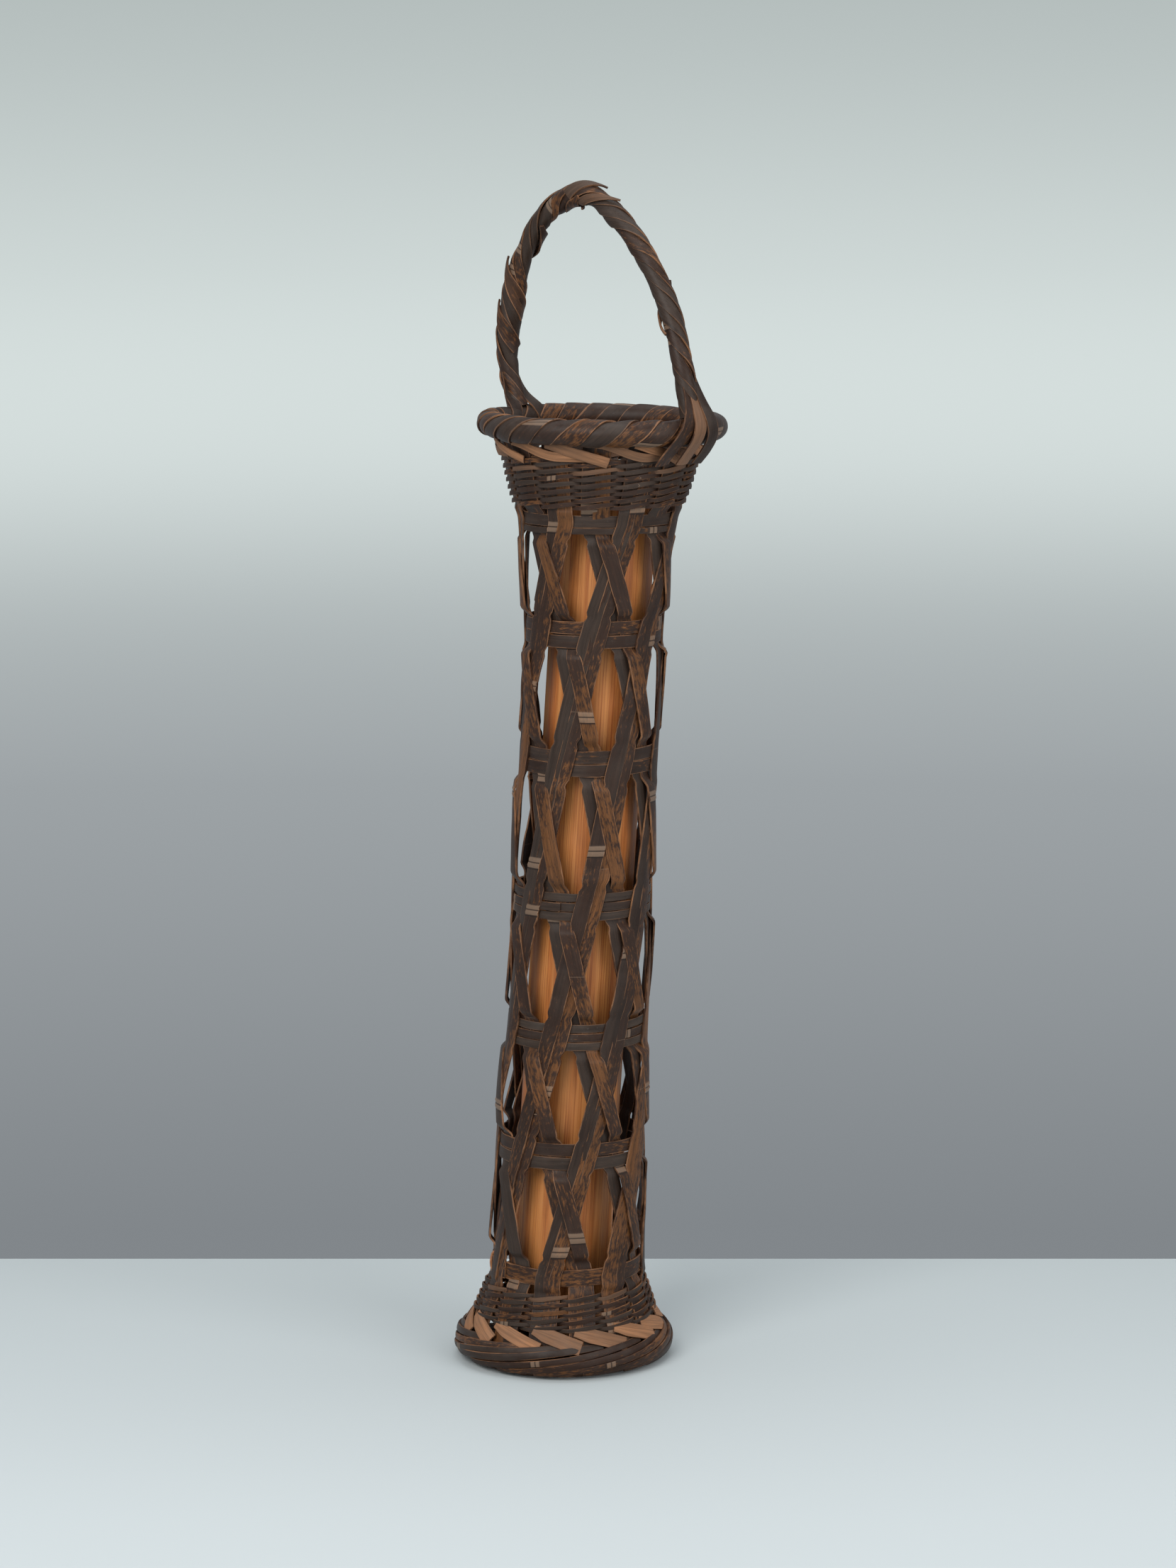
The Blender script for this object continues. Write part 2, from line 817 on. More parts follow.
class Route:
    """A line through points, read by distance along it."""

    def __init__(self, points):
        self.points = points
        self.lengths = [0.0]
        for before, after in zip(points, points[1:]):
            self.lengths.append(self.lengths[-1] + (after - before).length)
        self.length = self.lengths[-1]

    def at(self, distance):
        """The point at a distance, carried on straight past both ends."""
        if distance <= 0:
            return self.points[0] + (self.points[1] - self.points[0]).normalized() * distance
        if distance >= self.length:
            run = (self.points[-1] - self.points[-2]).normalized()
            return self.points[-1] + run * (distance - self.length)
        i = max(j for j in range(len(self.lengths) - 1) if self.lengths[j] <= distance)
        share = (distance - self.lengths[i]) / (self.lengths[i + 1] - self.lengths[i])
        return self.points[i].lerp(self.points[i + 1], share)

    def along(self, distance):
        """The direction of the line at a distance."""
        return (self.at(distance + 1.5) - self.at(distance - 1.5)).normalized()


class BASKET_OT_handle(bpy.types.Operator):
    """Twist the handle's splints together and tuck their ends in at the rim"""

    bl_idname = "basket.handle"
    bl_label = "Twisted handle"

    def execute(self, context):
        route = Route(handle_path())
        face = handle_direction().cross(Vector((0, 0, 1)))
        strands = nodes_named("handle_strand_")
        for number, node in enumerate(strands):
            rng = random.Random(node)
            splints = Splints()
            splints.lay(
                self.strand(route, face, number / len(strands), rng), route.length * 1.12, 7.0,
                rng, 260, across=6, joints=joints_for(rng, route.length, 150.0),
            )
            if number == 0:
                self.torn_ends(splints, route, face)
            piece = splints.piece(f"{node}_splint", 0.8, splint_finish("handle"))
            dress(piece, "handle_splint", node)
        self.tails()
        return {"FINISHED"}

    def strand(self, route, face, share, rng):
        """One splint that winds round the handle."""
        seed = rng.uniform(0, 90)
        half = math.radians(48) * rng.uniform(0.9, 1.12)
        core, lapped, crown = 3.45, 1.25, 0.30

        def place(t, across):
            distance = route.length * (t * 1.02 - 0.01)
            along = route.along(distance)
            out = along.cross(face).normalized()
            slack = 0.35 * wobble(seed, distance / 24)
            turn = 2 * math.pi * (share - distance / STRAND_PITCH) + slack + across * half
            rough = 1.0 - 0.55 * smooth((distance / route.length - 0.5) / 0.15)
            lump = rough * (0.75 * wobble(5, distance / 13) + 0.45 * wobble(seed + 2, distance / 9))
            radius = core + lump + lapped * (1 + across) / 2 + crown * (1 - across * across)
            spoke = face * math.cos(turn) + out * math.sin(turn)
            return route.at(distance) + spoke * radius

        return place

    def torn_ends(self, splints, route, face):
        """Short splints that end in the open: a lapped knot near the top, and a few slivers."""
        # share of the way along, turn round it, half width, length, inner face shown, rise
        laps = [
            (0.475, 0.36, 3.4, 15.0, 0.0, 0.6),
            (0.505, -0.30, 3.0, 16.0, 0.2, 1.1),
            (0.540, -0.10, 2.0, 20.0, 0.35, 1.6),
            (0.490, 0.55, 0.9, 12.0, 1.0, 2.2),
            (0.330, 0.75, 3.6, 24.0, 0.0, 0.8),
            (0.225, 0.20, 3.6, 26.0, 0.1, 0.8),
            (0.800, 0.55, 2.0, 26.0, 1.0, 0.9),
            (0.150, 0.10, 3.4, 22.0, 0.0, 0.7),
        ]
        for number, (share, lean, half, length, inner, rise) in enumerate(laps):
            rng = random.Random(f"torn {number}")
            middle_at = route.length * share

            def path(t):
                distance = middle_at + length * (t - 0.5)
                along = route.along(distance)
                out = along.cross(face).normalized()
                turn = lean * math.pi + math.radians(-360 / STRAND_PITCH) * length * (t - 0.5)
                radius = 5.4 + rise * t * t
                return route.at(distance) + (face * math.cos(turn) + out * math.sin(turn)) * radius

            def outside(t):
                return (path(t) - route.at(middle_at + length * (t - 0.5))).normalized()

            place = ribbon(path, outside, lambda t: half * (1.02 - 0.75 * smooth(t) ** 3), 0.3)
            splints.lay(place, length, 2 * half, rng, 26, inner=inner)

    def tails(self):
        """The flat ends: inside the rim at the rear leg, and outside it at the front leg."""
        front = math.pi / 2 - HANDLE_TURN
        rear = front + math.pi
        groups = [
            ("rear", rear, [(-3, -15), (3, 12)], REAR_TAIL),
            ("front", front, [(-2, -15), (0, -3), (3, 9)], FRONT_TAIL),
        ]
        for word, leg, spreads, outline in groups:
            splints = Splints()
            for number, (first, last) in enumerate(spreads):
                rng = random.Random(f"tail {word} {number}")
                splints.lay(
                    self.tail(leg, math.radians(first), math.radians(last), outline, number, rng),
                    48.0, 8.6, rng, 40, inner=1.0 if (word, number) == ("front", 1) else 0.0,
                )
            piece = splints.piece(f"handle_tail_{word}", 0.85, splint_finish("handle"))
            dress(piece, "handle_splint", f"handle_tails_{word}")

    def tail(self, leg, first, last, outline, number, rng):
        """One flat end, that follows (radius, height) points down past the rim."""
        knots_r = [(i / (len(outline) - 1), r) for i, (r, _) in enumerate(outline)]
        knots_z = [(i / (len(outline) - 1), z) for i, (_, z) in enumerate(outline)]
        seed = rng.uniform(0, 90)
        half = rng.uniform(3.4, 4.3)
        base = middle(RIM_HEIGHT)

        def path(t):
            angle = leg + first + (last - first) * smooth(t)
            radius = between(knots_r, t) + 0.9 * number + 0.3 * wobble(seed, 3 * t)
            return Vector((base.x, base.y, between(knots_z, t))) + outward(angle) * radius

        def face(t):
            slope = path(t + 0.02) - path(t - 0.02)
            return outward(leg) * -slope.z + Vector((0, 0, slope.dot(outward(leg))))

        return ribbon(path, face, lambda t: half * (0.55 + 0.45 * smooth(2.5 * t)))


# ---- water tube ----


class BASKET_OT_water_tube(bpy.types.Operator):
    """Cut the water tube from a peeled culm, closed below by its node"""

    bl_idname = "basket.water_tube"
    bl_label = "Water tube"

    def execute(self, context):
        joint = frame["joints"][0]
        mount = next(m for m in frame["record"]["mounts"] if m["name"] == "tube_bore")
        axis = Vector(joint["axis"]).normalized()
        half = mount["dims"]["length_mm"] / 2
        floor = Vector(mount["pos_m"]) / MM - axis * half
        outline = [
            (0.0, -TUBE_FLOOR), (12.0, -TUBE_FLOOR), (21.6, -TUBE_FLOOR), (23.4, -5.4),
            *[(TUBE_OUTSIDE, s) for s in range(0, 400, 20)],
            (TUBE_OUTSIDE, 404.6), (23.1, 406.2), (21.6, 406.9), (20.2, 406.4),
            (TUBE_BORE, 405.2),
            *[(TUBE_BORE, s) for s in range(400, 0, -40)],
            (TUBE_BORE, 2.0), (17.0, 0.3), (9.0, 0.0), (0.0, 0.0),
        ]
        bm = bmesh.new()
        verts = [bm.verts.new((radius, 0, s)) for radius, s in outline]
        edges = [bm.edges.new(pair) for pair in zip(verts, verts[1:])]
        bmesh.ops.spin(
            bm, geom=verts + edges, cent=(0, 0, 0), axis=(0, 0, 1), angle=2 * math.pi, steps=96,
            use_merge=True,
        )
        bmesh.ops.remove_doubles(bm, verts=bm.verts[:], dist=0.001)
        bmesh.ops.recalc_face_normals(bm, faces=bm.faces[:])
        fibre = bm.loops.layers.uv.new("Fibre")
        for face in bm.faces:
            face.smooth = True
            turns = [math.atan2(loop.vert.co.y, loop.vert.co.x) for loop in face.loops]
            wraps = max(turns) - min(turns) > math.pi
            for loop, turn in zip(face.loops, turns):
                turn += 2 * math.pi if wraps and turn < 0 else 0
                loop[fibre].uv = (turn * TUBE_OUTSIDE / 10, loop.vert.co.z / 10)
        tilt = Vector((0, 0, 1)).rotation_difference(axis)
        for vert in bm.verts:
            turn = math.atan2(vert.co.y, vert.co.x)
            flat = 0.12 * wobble(31, 9 * math.sin(turn)) + 0.10 * wobble(37, 9 * math.cos(turn))
            if vert.co.xy.length > 15:
                vert.co.xy *= 1 + flat / TUBE_OUTSIDE
            vert.co = (floor + tilt @ vert.co) * MM
        data = bpy.data.meshes.new("water_tube")
        bm.to_mesh(data)
        bm.free()
        data.materials.append(culm_finish())
        dress(add_object("water_tube", data), "peeled_culm", "liner_tube", body="liner")
        return {"FINISHED"}


class BASKET_OT_tie(bpy.types.Operator):
    """Wind the rattan tie round the bottom hoop's lapped ends"""

    bl_idname = "basket.tie"
    bl_label = "Rattan tie"

    def execute(self, context):
        low, high = (Vector(corner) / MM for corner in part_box("hoop_tie"))
        center = (low + high) / 2
        angle = math.radians(-78)
        out, along = outward(angle), outward(angle + math.pi / 2)
        knots = []
        for sixth in range(2 * 6 + 1):
            turn = 2 * math.pi * sixth / 6
            place = center + out * (1.5 * math.sin(turn))
            place += Vector((0, 0, (high.z - low.z) / 2 * math.cos(turn)))
            place += along * (1.1 * sixth / 6 - 1.1)
            knots.append(place)
        mesh = curve_mesh("rattan_tie", knots, 12, thickness=1.1)
        for polygon in mesh.polygons:
            polygon.use_smooth = True
        mesh.materials.append(rattan_finish())
        dress(add_object("rattan_tie", mesh), "rattan", "hoop_tie")
        return {"FINISHED"}


# ---- shader groups ----


def add_node(tree, kind, inputs=None, **settings):
    """A shader node with its settings, its values and its links."""
    node = tree.nodes.new(kind)
    for name, value in settings.items():
        setattr(node, name, value)
    for name, value in (inputs or {}).items():
        socket = node.inputs[name]
        if isinstance(value, bpy.types.NodeSocket):
            tree.links.new(value, socket)
        else:
            socket.default_value = value
    return node


def shader_group(name, inputs, outputs):
    """An empty shader node group with named sockets, and its two end nodes."""
    group = bpy.data.node_groups.new(name, "ShaderNodeTree")
    for label, kind, default in inputs:
        socket = group.interface.new_socket(label, in_out="INPUT", socket_type=kind)
        if default is not None:
            socket.default_value = default
    for label, kind in outputs:
        group.interface.new_socket(label, in_out="OUTPUT", socket_type=kind)
    return group, group.nodes.new("NodeGroupInput"), group.nodes.new("NodeGroupOutput")


def scaled(tree, vector, x, y, z=1.0):
    """A vector scaled along its axes."""
    node = add_node(tree, "ShaderNodeMapping", {"Vector": vector, "Scale": (x, y, z)})
    return node.outputs["Vector"]


def noise_fac(tree, vector, scale, detail=3.0, roughness=0.55):
    """The value of a noise texture."""
    inputs = {"Vector": vector, "Scale": scale, "Detail": detail, "Roughness": roughness}
    return add_node(tree, "ShaderNodeTexNoise", inputs).outputs["Fac"]


def window(tree, value, low, high, out_low=0.0, out_high=1.0):
    """A value mapped from low..high to a smooth 0..1."""
    inputs = {
        "Value": value, "From Min": low, "From Max": high, "To Min": out_low, "To Max": out_high,
    }
    node = add_node(tree, "ShaderNodeMapRange", inputs, interpolation_type="SMOOTHSTEP")
    return node.outputs["Result"]


def math_node(tree, operation, first, second=None, clamp=False):
    """A Math node's value."""
    node = tree.nodes.new("ShaderNodeMath")
    node.operation = operation
    node.use_clamp = clamp
    for socket, value in zip(node.inputs, (first, second)):
        if value is None:
            continue
        if isinstance(value, bpy.types.NodeSocket):
            tree.links.new(value, socket)
        else:
            socket.default_value = value
    return node.outputs[0]


def plus(tree, first, second, clamp=False):
    """The sum of two values."""
    return math_node(tree, "ADD", first, second, clamp)


def minus(tree, first, second):
    """One value less another."""
    return math_node(tree, "SUBTRACT", first, second)


def times(tree, first, second):
    """The product of two values."""
    return math_node(tree, "MULTIPLY", first, second)


def darker(colour, share):
    """A colour with only a share of its light."""
    return [channel * share for channel in colour]


def mixed(tree, factor, first, second):
    """Two colours mixed by a factor."""
    node = tree.nodes.new("ShaderNodeMix")
    node.data_type = "RGBA"
    for index, value in ((0, factor), (6, first), (7, second)):
        socket = node.inputs[index]
        if isinstance(value, bpy.types.NodeSocket):
            tree.links.new(value, socket)
        elif index == 0:
            socket.default_value = value
        else:
            socket.default_value = (*value[:3], 1.0)
    return node.outputs[2]


def fibre_group():
    """Fine grain that runs along a splint: streaks and the height of its fibres."""
    group, start, end = shader_group(
        "Fibre Grain",
        [("Vector", "NodeSocketVector", None), ("Fineness", "NodeSocketFloat", 1.0)],
        [("Streaks", "NodeSocketFloat"), ("Height", "NodeSocketFloat")],
    )
    fine = scaled(group, start.outputs["Vector"], 26.0, 0.75)
    broad = scaled(group, start.outputs["Vector"], 7.0, 0.35)
    fine_value = noise_fac(group, fine, start.outputs["Fineness"], 3.0, 0.6)
    broad_value = noise_fac(group, broad, start.outputs["Fineness"], 2.0, 0.5)
    both = times(group, plus(group, fine_value, broad_value), 0.5)
    group.links.new(window(group, both, 0.36, 0.64), end.inputs["Streaks"])
    group.links.new(both, end.inputs["Height"])
    return group


def patches_group():
    """Rubbed patches and grey weathering that lie along a splint."""
    group, start, end = shader_group(
        "Rubbed Patches",
        [("Vector", "NodeSocketVector", None), ("Tone", "NodeSocketFloat", 0.5),
         ("Amount", "NodeSocketFloat", 0.5)],
        [("Rubbed", "NodeSocketFloat"), ("Weathered", "NodeSocketFloat")],
    )
    vector, tone = start.outputs["Vector"], start.outputs["Tone"]
    spots = noise_fac(group, scaled(group, vector, 8.5, 2.6), 1.0, 4.0, 0.62)
    field = noise_fac(group, scaled(group, vector, 0.45, 0.22), 1.0, 1.0, 0.4)
    level = times(group, start.outputs["Amount"], 0.16)
    lifted = plus(group, spots, level)
    field_push = times(group, minus(group, field, 0.5), 0.80)
    tone_push = times(group, minus(group, tone, 0.60), 0.42)
    total = plus(group, plus(group, lifted, field_push), tone_push)
    group.links.new(window(group, total, 0.62, 0.80), end.inputs["Rubbed"])
    slow = noise_fac(group, scaled(group, vector, 0.9, 0.22), 1.0, 3.0, 0.6)
    tone_grey = times(group, minus(group, 0.5, tone), 0.75)
    group.links.new(
        window(group, plus(group, slow, tone_grey), 0.38, 0.78),
        end.inputs["Weathered"],
    )
    return group


def edges_group():
    """Pale worn edges, and the pale band and dark line of a bamboo node."""
    group, start, end = shader_group(
        "Splint Wear",
        [("Vector", "NodeSocketVector", None), ("Side", "NodeSocketFloat", 0.0),
         ("Joint", "NodeSocketFloat", 12.0), ("Wear", "NodeSocketFloat", 0.5)],
        [("Edge", "NodeSocketFloat"), ("Band", "NodeSocketFloat"), ("Line", "NodeSocketFloat")],
    )
    chips = noise_fac(group, scaled(group, start.outputs["Vector"], 2.0, 1.3), 1.0, 4.0, 0.65)
    away = math_node(group, "ABSOLUTE", start.outputs["Side"])
    bite = times(group, minus(group, chips, 0.5), 0.34)
    run = noise_fac(group, scaled(group, start.outputs["Vector"], 0.4, 0.55), 1.0, 2.0, 0.5)
    run = times(group, minus(group, run, 0.55), 0.30)
    bite = plus(group, bite, run)
    reach = times(group, start.outputs["Wear"], 0.12)
    total = plus(group, plus(group, away, bite), reach)
    group.links.new(window(group, total, 0.93, 1.00), end.inputs["Edge"])
    joint = start.outputs["Joint"]
    from_band = math_node(group, "ABSOLUTE", minus(group, joint, 0.1))
    ragged = plus(group, from_band, times(group, bite, 2.5))
    group.links.new(window(group, ragged, 2.7, 2.0), end.inputs["Band"])
    first = window(group, math_node(group, "ABSOLUTE", joint), 0.50, 0.15)
    under = math_node(group, "ABSOLUTE", minus(group, joint, 2.9))
    lines = math_node(group, "MAXIMUM", first, window(group, under, 0.6, 0.2))
    group.links.new(lines, end.inputs["Line"])
    return group


def dust_group():
    """A thin grey film on what faces up, with a few specks."""
    group, start, end = shader_group(
        "Dust Film",
        [("Vector", "NodeSocketVector", None), ("Amount", "NodeSocketFloat", 0.3)],
        [("Film", "NodeSocketFloat")],
    )
    cloud = noise_fac(group, start.outputs["Vector"], 90.0, 4.0, 0.6)
    specks = noise_fac(group, start.outputs["Vector"], 700.0, 1.0, 0.5)
    geometry = group.nodes.new("ShaderNodeNewGeometry")
    up = add_node(group, "ShaderNodeSeparateXYZ", {"Vector": geometry.outputs["Normal"]})
    facing_up = window(group, up.outputs["Z"], -0.3, 0.9, 0.25, 1.0)
    film = times(group, window(group, cloud, 0.38, 0.70), facing_up)
    film = times(group, film, start.outputs["Amount"])
    speck = times(group, window(group, specks, 0.70, 0.78), start.outputs["Amount"])
    total = plus(group, film, times(group, speck, 0.6), clamp=True)
    group.links.new(total, end.inputs["Film"])
    return group


GROUP_MAKERS = {
    "Fibre Grain": fibre_group,
    "Rubbed Patches": patches_group,
    "Splint Wear": edges_group,
    "Dust Film": dust_group,
}


def place_group(tree, name, inputs):
    """A shared effect placed in a material with its own values."""
    group = bpy.data.node_groups.get(name) or GROUP_MAKERS[name]()
    return add_node(tree, "ShaderNodeGroup", inputs, node_tree=group)


def new_material(name):
    """A material with only a Principled BSDF and its output."""
    material = bpy.data.materials.new(name)
    material.use_nodes = True
    tree = material.node_tree
    tree.nodes.clear()
    output = tree.nodes.new("ShaderNodeOutputMaterial")
    shader = tree.nodes.new("ShaderNodeBsdfPrincipled")
    tree.links.new(shader.outputs["BSDF"], output.inputs["Surface"])
    return material, tree, shader


def attribute(tree, name):
    """A mesh attribute's value."""
    return add_node(tree, "ShaderNodeAttribute", attribute_name=name).outputs["Fac"]


def pattern_places(tree):
    """Where a pattern lies: along the fibres, in centimetres, and in the basket, in metres."""
    fibre_map = add_node(tree, "ShaderNodeUVMap", uv_map="Fibre").outputs["UV"]
    return fibre_map, tree.nodes.new("ShaderNodeTexCoord").outputs["Object"]


def add_bump(tree, shader, height, strength, depth):
    """Lets a height value raise the surface, by up to a depth in metres."""
    inputs = {"Height": height, "Strength": strength, "Distance": depth}
    bump = add_node(tree, "ShaderNodeBump", inputs)
    tree.links.new(bump.outputs["Normal"], shader.inputs["Normal"])


DUST = (0.30, 0.29, 0.27)
DUST_ON_SKIN = (0.17, 0.155, 0.14)

# Each finish: how much is rubbed, how grey it is, its worn edges, its dust and its roughness.
FINISHES = {
    "stake": {"rubbed": 0.45, "grey": 0.55, "wear": 0.45, "dust": 0.07, "rough": 0.42},
    "hoop": {"rubbed": 0.30, "grey": 0.70, "wear": 0.55, "dust": 0.12, "rough": 0.50},
    "pale": {"rubbed": 0.20, "grey": 0.95, "wear": 0.75, "dust": 0.22, "rough": 0.58},
    "weaver": {"rubbed": 0.02, "grey": 0.70, "wear": 0.15, "dust": 0.12, "rough": 0.52},
    "rim": {"rubbed": 0.10, "grey": 0.50, "wear": 0.60, "dust": 0.14, "rough": 0.40},
    "handle": {"rubbed": 0.12, "grey": 0.60, "wear": 0.55, "dust": 0.12, "rough": 0.40},
    "fold": {"rubbed": 0.10, "grey": 0.30, "wear": 0.20, "dust": 0.15, "rough": 0.60},
}


def splint_finish(kind):
    """The face and cut-edge materials of one kind of splint."""
    face = bpy.data.materials.get(f"bamboo_{kind}") or face_material(kind)
    edge = bpy.data.materials.get("bamboo_cut_edge") or edge_material()
    return face, edge


def face_material(kind):
    """Smoked bamboo skin, rubbed, weathered, dusty and worn at its edges."""
    values = FINISHES[kind]
    colours = finish_colours()
    material, tree, shader = new_material(f"bamboo_{kind}")
    fibre_map, place = pattern_places(tree)
    tone, side = attribute(tree, "tone"), attribute(tree, "side")
    joint, inner = attribute(tree, "joint"), attribute(tree, "inner")
    grain = place_group(tree, "Fibre Grain", {"Vector": fibre_map, "Fineness": 1.0})
    patches = place_group(
        tree, "Rubbed Patches", {"Vector": fibre_map, "Tone": tone, "Amount": values["rubbed"]}
    )
    wear = place_group(
        tree, "Splint Wear",
        {"Vector": fibre_map, "Side": side, "Joint": joint, "Wear": values["wear"]},
    )
    dust = place_group(tree, "Dust Film", {"Vector": place, "Amount": values["dust"]})

    umber = colours.umber
    streaks = grain.outputs["Streaks"]
    dark = darker(umber, 0.38)
    skin = mixed(tree, streaks, darker(umber, 0.62), umber)
    deep = mixed(tree, streaks, dark, darker(umber, 0.6))
    skin = mixed(tree, window(tree, tone, 0.25, 0.75), deep, skin)
    weathered = patches.outputs["Weathered"]
    grey_skin = mixed(tree, streaks, darker(colours.grey, 0.55), colours.grey)
    skin = mixed(tree, times(tree, weathered, values["grey"]), skin, grey_skin)
    amber = mixed(tree, streaks, darker(colours.amber, 0.42), colours.amber)
    skin = mixed(tree, patches.outputs["Rubbed"], skin, amber)
    tan = mixed(tree, streaks, darker(colours.tan, 0.55), colours.tan)
    tan = mixed(tree, times(tree, weathered, 0.5), tan, colours.grey)
    skin = mixed(tree, inner, skin, tan)
    skin = mixed(tree, times(tree, wear.outputs["Edge"], 0.62), skin, tan)
    pale = (colours.tan[0] * 0.90, colours.tan[1] * 1.25, colours.tan[2] * 1.75)
    skin = mixed(tree, times(tree, wear.outputs["Band"], 0.46), skin, pale)
    skin = mixed(tree, times(tree, wear.outputs["Line"], 0.85), skin, dark)
    skin = mixed(tree, dust.outputs["Film"], skin, DUST_ON_SKIN)
    tree.links.new(skin, shader.inputs["Base Color"])

    rough = plus(tree, values["rough"], times(tree, streaks, 0.14))
    rough = plus(tree, rough, times(tree, dust.outputs["Film"], 0.5), clamp=True)
    tree.links.new(rough, shader.inputs["Roughness"])
    shader.inputs["Specular IOR Level"].default_value = 0.22
    add_bump(tree, shader, grain.outputs["Height"], 0.45, 0.0004)
    return material


def edge_material():
    """The paler cut edge of a splint, darkened in places by smoke and handling."""
    colours = finish_colours()
    material, tree, shader = new_material("bamboo_cut_edge")
    fibre_map, place = pattern_places(tree)
    grain = place_group(tree, "Fibre Grain", {"Vector": fibre_map, "Fineness": 1.2})
    soot = noise_fac(tree, place, 60.0, 4.0, 0.6)
    tan = mixed(
        tree, grain.outputs["Streaks"], darker(colours.tan, 0.45), darker(colours.tan, 0.85)
    )
    sooty = [channel * 1.3 for channel in colours.umber]
    colour = mixed(tree, window(tree, soot, 0.38, 0.60), tan, sooty)
    tree.links.new(colour, shader.inputs["Base Color"])
    shader.inputs["Roughness"].default_value = 0.62
    shader.inputs["Specular IOR Level"].default_value = 0.25
    add_bump(tree, shader, grain.outputs["Height"], 0.4, 0.0003)
    return material


def culm_finish():
    """Peeled culm: orange-brown, with fine upright streaks and redder bands."""
    colours = finish_colours()
    material, tree, shader = new_material("peeled_culm")
    fibre_map, place = pattern_places(tree)
    grain = place_group(tree, "Fibre Grain", {"Vector": fibre_map, "Fineness": 1.3})
    bands = noise_fac(tree, scaled(tree, fibre_map, 1.5, 0.05), 1.0, 3.0, 0.6)
    lines = noise_fac(tree, scaled(tree, fibre_map, 22.0, 0.09), 1.0, 2.0, 0.5)
    stains = noise_fac(tree, scaled(tree, fibre_map, 0.5, 0.16), 1.0, 3.0, 0.6)
    culm = colours.culm
    light = (culm[0] * 1.12, culm[1] * 1.36, culm[2] * 1.6)
    red = (culm[0] * 0.45, culm[1] * 0.28, culm[2] * 0.26)
    stained = times(tree, window(tree, stains, 0.52, 0.74), 0.45)
    base = mixed(tree, grain.outputs["Streaks"], darker(culm, 0.68), culm)
    base = mixed(tree, window(tree, bands, 0.44, 0.62), base, light)
    base = mixed(tree, times(tree, window(tree, lines, 0.50, 0.66), 0.62), base, red)
    base = mixed(tree, stained, base, darker(culm, 0.42))
    dust = place_group(tree, "Dust Film", {"Vector": place, "Amount": 0.06})
    base = mixed(tree, dust.outputs["Film"], base, DUST)
    tree.links.new(base, shader.inputs["Base Color"])
    rough = plus(tree, 0.40, times(tree, grain.outputs["Streaks"], 0.16))
    tree.links.new(rough, shader.inputs["Roughness"])
    shader.inputs["Specular IOR Level"].default_value = 0.3
    add_bump(tree, shader, grain.outputs["Height"], 0.35, 0.0004)
    return material


def rattan_finish():
    """Orange rattan with darker streaks."""
    material, tree, shader = new_material("rattan_tie")
    place = tree.nodes.new("ShaderNodeTexCoord").outputs["Object"]
    streaks = noise_fac(tree, scaled(tree, place, 1600.0, 1600.0, 220.0), 1.0, 2.0, 0.5)
    colour = mixed(tree, window(tree, streaks, 0.35, 0.7), (0.20, 0.07, 0.025), (0.50, 0.21, 0.07))
    tree.links.new(colour, shader.inputs["Base Color"])
    shader.inputs["Roughness"].default_value = 0.38
    return material


def core_finish():
    """Split bamboo inside the rolls and under the tube, with grain across the basket."""
    colours = finish_colours()
    material, tree, shader = new_material("bamboo_core")
    place = tree.nodes.new("ShaderNodeTexCoord").outputs["Object"]
    grain = noise_fac(tree, scaled(tree, place, 90.0, 900.0, 500.0), 1.0, 3.0, 0.6)
    spots = noise_fac(tree, place, 70.0, 4.0, 0.6)
    tan = colours.tan
    wood = mixed(tree, window(tree, grain, 0.35, 0.65), darker(tan, 0.30), darker(tan, 0.62))
    wood = mixed(tree, window(tree, spots, 0.40, 0.62), wood, darker(colours.umber, 0.9))
    dust = place_group(tree, "Dust Film", {"Vector": place, "Amount": 0.2})
    wood = mixed(tree, dust.outputs["Film"], wood, DUST)
    tree.links.new(wood, shader.inputs["Base Color"])
    shader.inputs["Roughness"].default_value = 0.68
    add_bump(tree, shader, grain, 0.4, 0.0004)
    return material


class BASKET_OT_inner_parts(bpy.types.Operator):
    """Give the slats, cores and standing ring a split bamboo finish"""

    bl_idname = "basket.inner_parts"
    bl_label = "Slats and cores"

    def execute(self, context):
        material = core_finish()
        for name in ("floor_slats_lower", "floor_slats_upper", "foot_ring", "rim_core",
                     "handle_core"):
            for slot in frame["nodes"][name].material_slots:
                slot.material = material
        return {"FINISHED"}


# ---- stage ----


def shaded_along(tree, vector, axis, start, end, shades):
    """A colour that changes along one axis: shades are (place from 0 to 1, colour) pairs."""
    split = add_node(tree, "ShaderNodeSeparateXYZ", {"Vector": vector})
    inputs = {"Value": split.outputs[axis], "From Min": start, "From Max": end}
    share = add_node(tree, "ShaderNodeMapRange", inputs).outputs["Result"]
    ramp = add_node(tree, "ShaderNodeValToRGB", {"Fac": share})
    ramp.color_ramp.interpolation = "B_SPLINE"
    for number, (spot, colour) in enumerate(shades):
        stops = ramp.color_ramp.elements
        stop = stops[number] if number < 2 else stops.new(spot)
        stop.position = spot
        stop.color = (*colour, 1.0)
    return ramp.outputs["Color"]


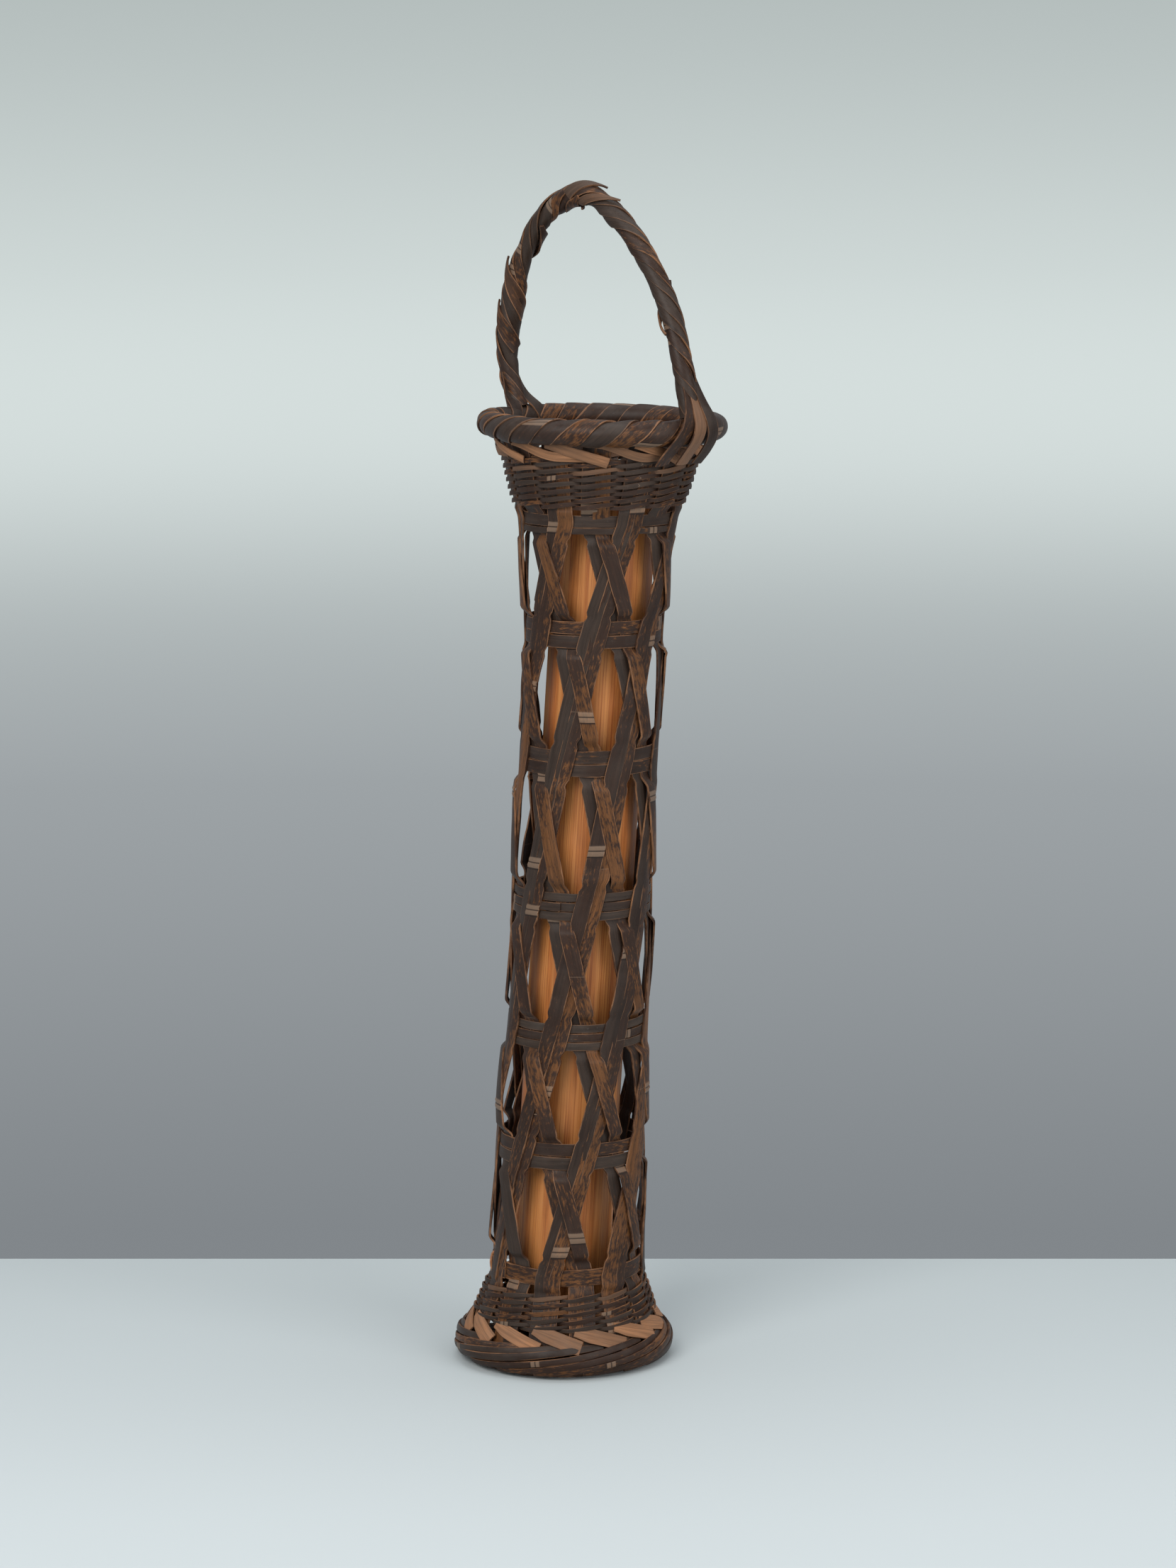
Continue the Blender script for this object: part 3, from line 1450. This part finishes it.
class BASKET_OT_stage(bpy.types.Operator):
    """Set the table, the grey background, the soft lights and the camera"""

    bl_idname = "basket.stage"
    bl_label = "Stage"

    def execute(self, context):
        self.table()
        self.light("key", (-0.75, -1.45, 1.35), 1.1, 26.0, (1.0, 0.985, 0.96))
        self.light("fill", (1.25, -1.2, 0.9), 1.2, 14.0, (1.0, 0.99, 0.975))
        self.light("top", (0.1, 0.15, 1.9), 1.2, 9.0, (1.0, 1.0, 1.0))
        self.camera()
        self.backdrop(context.scene)
        context.scene.view_settings.view_transform = "Standard"
        return {"FINISHED"}

    def table(self):
        """A pale matte table top that ends a little way behind the basket."""
        material, tree, shader = new_material("pale_table")
        place = tree.nodes.new("ShaderNodeTexCoord").outputs["Object"]
        width, depth, far_edge = 4.4, 2.37, 0.17
        shades = [(0.0, (0.57, 0.62, 0.635)), (1.0, (0.47, 0.52, 0.53))]
        colour = shaded_along(tree, place, "Y", -0.25, far_edge, shades)
        tree.links.new(colour, shader.inputs["Base Color"])
        shader.inputs["Roughness"].default_value = 0.85
        shader.inputs["Specular IOR Level"].default_value = 0.15
        bm = bmesh.new()
        grid = bmesh.ops.create_grid(bm, x_segments=1, y_segments=1, size=0.5)
        bmesh.ops.scale(bm, vec=(width, depth, 1.0), verts=grid["verts"])
        bmesh.ops.translate(bm, vec=(0.0, far_edge - depth / 2, 0.0), verts=grid["verts"])
        data = bpy.data.meshes.new("table_top")
        bm.to_mesh(data)
        bm.free()
        data.materials.append(material)
        add_object("table_top", data)

    def backdrop(self, scene):
        """An even light from all round, and a grey background, palest level with the handle."""
        world = bpy.data.worlds.new("studio")
        world.use_nodes = True
        tree = world.node_tree
        even = tree.nodes["Background"]
        even.inputs["Color"].default_value = (0.84, 0.88, 0.92, 1.0)
        even.inputs["Strength"].default_value = 0.5
        direction = tree.nodes.new("ShaderNodeTexCoord").outputs["Generated"]
        shades = [
            (0.0, (0.195, 0.212, 0.228)),
            (1.0, (0.43, 0.48, 0.475)),
            (0.36, (0.355, 0.382, 0.40)),
            (0.50, (0.41, 0.45, 0.455)),
            (0.63, (0.70, 0.77, 0.76)),
            (0.78, (0.64, 0.705, 0.695)),
        ]
        wall = add_node(tree, "ShaderNodeBackground")
        colour = shaded_along(tree, direction, "Z", -0.254, 0.022, shades)
        tree.links.new(colour, wall.inputs["Color"])
        mix = tree.nodes.new("ShaderNodeMixShader")
        seen = tree.nodes.new("ShaderNodeLightPath").outputs["Is Camera Ray"]
        tree.links.new(seen, mix.inputs[0])
        tree.links.new(even.outputs["Background"], mix.inputs[1])
        tree.links.new(wall.outputs["Background"], mix.inputs[2])
        tree.links.new(mix.outputs[0], tree.nodes["World Output"].inputs["Surface"])
        scene.world = world

    def light(self, name, place, size, power, colour):
        """A soft square light aimed at the basket's middle."""
        data = bpy.data.lights.new(name, "AREA")
        data.size = size
        data.energy = power
        data.color = colour
        lamp = add_object(name, data)
        lamp.location = place
        aim = Vector((0, 0, 0.28)) - Vector(place)
        lamp.rotation_euler = aim.to_track_quat("-Z", "Y").to_euler()
        lamp.visible_camera = False

    def camera(self):
        """A long lens a little above the basket, looking slightly down."""
        data = bpy.data.cameras.new("camera")
        data.sensor_fit = "VERTICAL"
        data.sensor_height = 36.0
        data.lens = 100.0
        camera = add_object("camera", data)
        camera.location = (0.0, -2.037, 0.598)
        camera.rotation_euler = (math.radians(90 - 8.94), 0.0, 0.0)
        bpy.context.scene.camera = camera


PIECE_OPERATORS = [
    BASKET_OT_water_tube,
    BASKET_OT_stakes,
    BASKET_OT_hoops,
    BASKET_OT_tie,
    BASKET_OT_weavers,
    BASKET_OT_borders,
    BASKET_OT_rim,
    BASKET_OT_foot,
    BASKET_OT_handle,
    BASKET_OT_inner_parts,
    BASKET_OT_stage,
]


class BASKET_PT_panel(bpy.types.Panel):
    """The basket's sizes, colours and pieces"""

    bl_idname = "BASKET_PT_panel"
    bl_label = "Woven Flower Basket"
    bl_space_type = "VIEW_3D"
    bl_region_type = "UI"
    bl_category = "Basket"

    def draw(self, context):
        layout = self.layout
        for group in (context.scene.basket_sizes, context.scene.basket_finish):
            box = layout.box()
            for name in group.__annotations__:
                box.prop(group, name)
        for operator in PIECE_OPERATORS:
            layout.operator(operator.bl_idname)


CLASSES = [BasketSizes, BasketFinish, *PIECE_OPERATORS, BASKET_PT_panel]


def register():
    for cls in CLASSES:
        bpy.utils.register_class(cls)
    bpy.types.Scene.basket_sizes = bpy.props.PointerProperty(type=BasketSizes)
    bpy.types.Scene.basket_finish = bpy.props.PointerProperty(type=BasketFinish)


def unregister():
    del bpy.types.Scene.basket_finish
    del bpy.types.Scene.basket_sizes
    for cls in reversed(CLASSES):
        bpy.utils.unregister_class(cls)


def main():
    """Registers the classes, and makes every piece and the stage."""
    register()
    for operator in PIECE_OPERATORS:
        group, name = operator.bl_idname.split(".")
        getattr(getattr(bpy.ops, group), name)()


if __name__ == "__main__":
    main()
